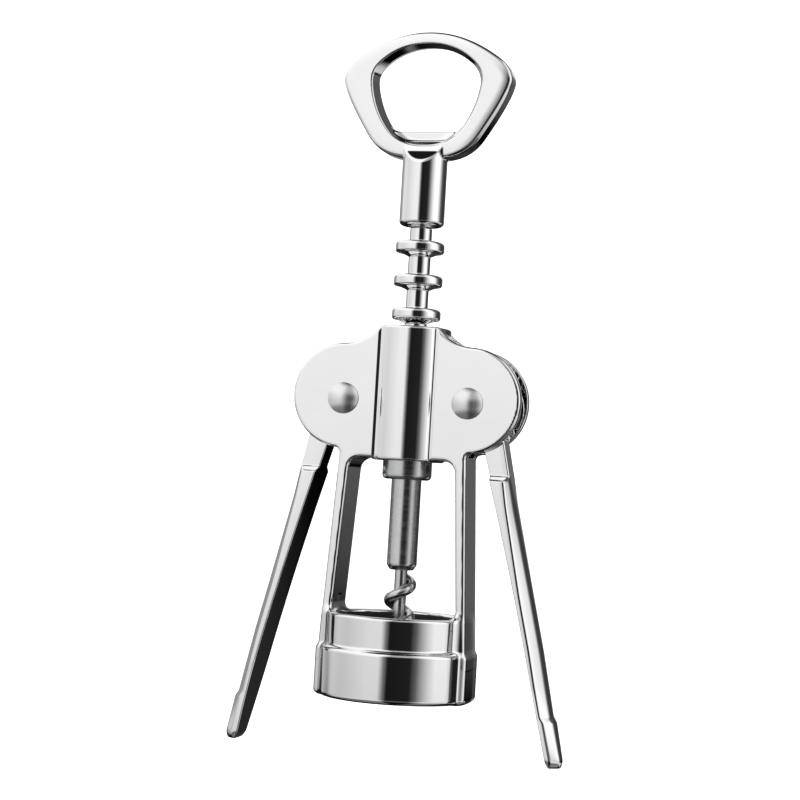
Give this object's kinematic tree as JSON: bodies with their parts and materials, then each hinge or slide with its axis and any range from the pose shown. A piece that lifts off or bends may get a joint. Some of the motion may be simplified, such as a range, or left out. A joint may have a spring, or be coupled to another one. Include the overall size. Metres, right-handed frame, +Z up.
{
  "type": "lever corkscrew",
  "caption": "Chromed wing corkscrew: two toothed levers raise a round rack that carries a spinning handle ring and worm through a cast frame with a bell.",
  "frame": {"origin": "centre of the bell's lower rim, where it sits over the neck of a bottle", "axes": "+Z up the axis of the worm towards the handle; X from the left lever's side to the right lever's; the front plate faces -Y"},
  "size_m": [0.0906, 0.04, 0.189],
  "materials": {
    "polished_chrome": "mirror polished chrome plate",
    "rivet_chrome": "polished chrome plate, slightly duller than the frame",
    "satin_steel": "turned steel with a satin sheen",
    "black_nylon": "moulded, matt"
  },
  "bodies": {
    "frame": {"frame_casting": "polished_chrome", "bell_liner": "black_nylon", "right_pivot_rivet": "rivet_chrome", "left_pivot_rivet": "rivet_chrome"},
    "right_lever": {"right_lever": "polished_chrome"},
    "left_lever": {"left_lever": "polished_chrome"},
    "rack": {"rack_sleeve": "polished_chrome", "rack_end_bush": "satin_steel"},
    "screw": {"handle": "polished_chrome", "thrust_washer": "satin_steel", "spindle": "satin_steel", "worm_ferrule": "satin_steel", "worm": "satin_steel"}
  },
  "joints": [
    {"name": "right_lever_swing", "type": "hinge", "parent": "frame", "child": "right_lever", "pos_m": [0.01665, 0, 0.0772], "axis": [0, -1, 0], "range_deg": [0, 120]},
    {"name": "left_lever_swing", "type": "hinge", "parent": "frame", "child": "left_lever", "pos_m": [-0.01665, 0, 0.0772], "axis": [0, 1, 0], "range_deg": [0, 120]},
    {"name": "rack_slide", "type": "slide", "parent": "frame", "child": "rack", "axis": [0, 0, -1], "range_m": [0, 0.0266]},
    {"name": "handle_spin", "type": "hinge", "parent": "rack", "child": "screw", "pos_m": [0, 0, 0.1], "axis": [0, 0, -1], "continuous": true}
  ],
  "couplings": [
    {"joint": "left_lever_swing", "follows": "right_lever_swing", "ratio": 1},
    {"joint": "rack_slide", "follows": "right_lever_swing", "m_per_rad": 0.012676}
  ]
}
